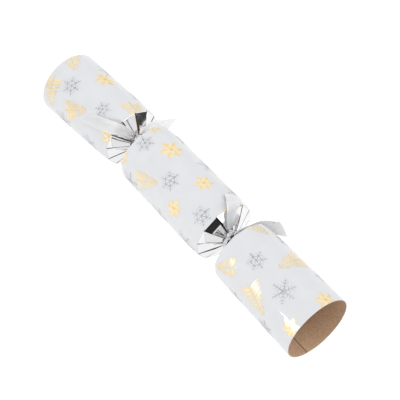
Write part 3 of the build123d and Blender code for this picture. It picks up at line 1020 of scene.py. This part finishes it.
left_end_stations = ((0.0028, 0.01182, 107, None), (0.00621, 0.01875, 116, None),
                     (0.0110, 0.02720, 125, None), (0.0183, 0.02700, 130.5, None),
                     (0.0277, 0.02690, 136.5, None), (0.0368, 0.02700, 141, None))
left_barrel_stations = ((-0.00003, 0.01140, 79, (-1.0, 0.0, 0.1)), (0.00018, 0.01625, 54, (-1.0, 0.0, 0.3)),
                        (0.00089, 0.01999, 38, (-0.85, 0.0, 0.5)), (0.00181, 0.02304, 25, (-0.85, 0.05, 0.5)),
                        (0.00338, 0.0293, 15, (-0.85, 0.1, 0.5)))
right_end_stations = ((0.0028, 0.01127, 93, (0.15, -0.5, 0.85)), (0.0032, 0.01376, 55, (0.2, -0.5, 0.84)),
                      (0.0062, 0.0222, 26, (0.0, -0.3, 0.95)), (0.0098, 0.0268, 20, (-0.15, -0.05, 0.98)),
                      (0.0134, 0.0285, 16, (-0.4, 0.3, 0.85)), (0.0221, 0.0325, 23, (-0.62, 0.45, 0.64)))
right_barrel_stations = ((0.0026, 0.01235, 94, None), (0.00532, 0.01994, 84, None),
                         (0.00952, 0.02692, 75, None), (0.01428, 0.02730, 67, None),
                         (0.01988, 0.02700, 60, None))

for side, neck, seed in (("left", left_neck, 2), ("right", right_neck, 5)):
    body = side + "_tie"
    tie = ribbon_tie(side + "_ribbon_turn", neck, body, seed)
    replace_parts(tie, side + "_ribbon_tie")
    knot = ribbon_knot(side + "_ribbon_knot_lump", neck, body, seed)
    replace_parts(knot, side + "_ribbon_knot")

for name, tube, neck, way, stations, cut_lead, curl, seed in (
        ("left_ribbon_end_streamer", left_end, left_neck, -1, left_end_stations, 0.011, 0.0004, 1),
        ("left_ribbon_barrel_streamer", barrel, left_neck, 1, left_barrel_stations, 0.014, 0.0005, 2),
        ("right_ribbon_end_streamer", right_end, right_neck, 1, right_end_stations, -0.0075, 0.0005, 3),
        ("right_ribbon_barrel_streamer", barrel, right_neck, -1, right_barrel_stations, -0.002, 0.0003, 4)):
    tail = ribbon_tail(name, tube, neck, way, stations, cut_lead, curl, seed)
    tie_body = name.split("_")[0] + "_tie"
    if tube is barrel:
        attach(tail, tie_body)
    else:
        start = tube.point(way * stations[0][0], stations[0][2], stations[0][1])
        end = tube.point(way * stations[2][0], stations[2][2], stations[2][1])
        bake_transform(tail)
    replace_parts(tail, name.replace("streamer", "tail"))


# Stage
# A plain white table under soft light from all round, and the camera where the photograph was taken from.
# The sky has a bright side, and a dark wall and a dark panel that the silver strips mirror. A small window
# glints on the card.
floor_half = 3
dome_top = 0.4
dome_strengths = (0.66, 1.09)
bright_side = ((0.80, 0.5, 0.33), 0.6, 0.95, 1.0)
dark_wall = ((0.906, 0.423, 0.0), 0.5, 0.67, 0.97)
dark_wall_top = (0.13, 0.19)
dark_panel = ((0.893, -0.3415, 0.2933), 0.92, 0.96, 0.97)

floor_finish = Finish("white_table", Base_Color=(0.27, 0.27, 0.27, 1.0), Roughness=0.9,
                      Specular_IOR_Level=0.0, Emission_Color=(1.0, 1.0, 1.0, 1.0), Emission_Strength=0.82)
floor_corners = [(x * floor_half, y * floor_half, 0) for x, y in ((-1, -1), (1, -1), (1, 1), (-1, 1))]
floor = mesh_piece("floor", floor_corners, [(0, 1, 2, 3)], (floor_finish.material,), [0])

world = bpy.data.worlds.new("studio")
world.use_nodes = True
bpy.context.scene.world = world
sky = world.node_tree
sky_way = tree_node(sky, "ShaderNodeTexCoord", {}).outputs["Generated"]
sky_height = tree_node(sky, "ShaderNodeSeparateXYZ", {"Vector": sky_way}).outputs["Z"]


def sky_range(value, before, after, **settings):
    """A value of the sky carried from one range to another."""
    limits = dict(zip(("From Min", "From Max", "To Min", "To Max"), (*before, *after)))
    return tree_node(sky, "ShaderNodeMapRange", {"Value": value, **limits}, **settings).outputs["Result"]


def sky_patch(way, edge, full, strength):
    """A round patch of sky in one direction, from nothing at its edge to its full strength."""
    nearness = tree_node(sky, "ShaderNodeVectorMath", {0: sky_way, 1: Vector(way).normalized()},
                         operation="DOT_PRODUCT").outputs["Value"]
    return sky_range(nearness, (edge, full), (0.0, strength), interpolation_type="SMOOTHSTEP")


dome = sky_range(sky_height, (0.0, dome_top), dome_strengths)
lit = math_node(sky, "ADD", dome, sky_patch(*bright_side))
low = sky_range(sky_height, dark_wall_top, (1.0, 0.0))
wall = math_node(sky, "MULTIPLY", low, sky_patch(*dark_wall))
dark = math_node(sky, "MAXIMUM", wall, sky_patch(*dark_panel))
left_over = math_node(sky, "SUBTRACT", 1.0, dark)
background = sky.nodes["Background"]
background.inputs["Color"].default_value = (1.0, 1.0, 1.0, 1.0)
sky.links.new(math_node(sky, "MULTIPLY", lit, left_over), background.inputs["Strength"])

glint_place = barrel_middle + Vector((-0.038, -0.460, 0.173))
glint_target = barrel_middle + Vector((0.1424, -0.0198, 0.0182))
glint_light = bpy.data.lights.new("small_window", "AREA")
glint_light.shape = "RECTANGLE"
glint_light.size = 0.035
glint_light.size_y = 0.03
glint_light.energy = 0.45
glint = placed("small_window", glint_light)
glint.location = glint_place
glint.rotation_euler = (glint_target - glint_place).to_track_quat("-Z", "Y").to_euler()

eye = barrel_middle + Vector((0.39722, -0.28975, 0.62101))
look = Vector((-0.48736, 0.37334, -0.78937))
camera_data = bpy.data.cameras.new("camera")
camera_data.sensor_width = 36
camera_data.lens = 94.04
camera = placed("camera", camera_data)
camera.location = eye
camera.rotation_euler = look.to_track_quat("-Z", "Y").to_euler()
bpy.context.scene.camera = camera
bpy.context.scene.view_settings.view_transform = "Standard"
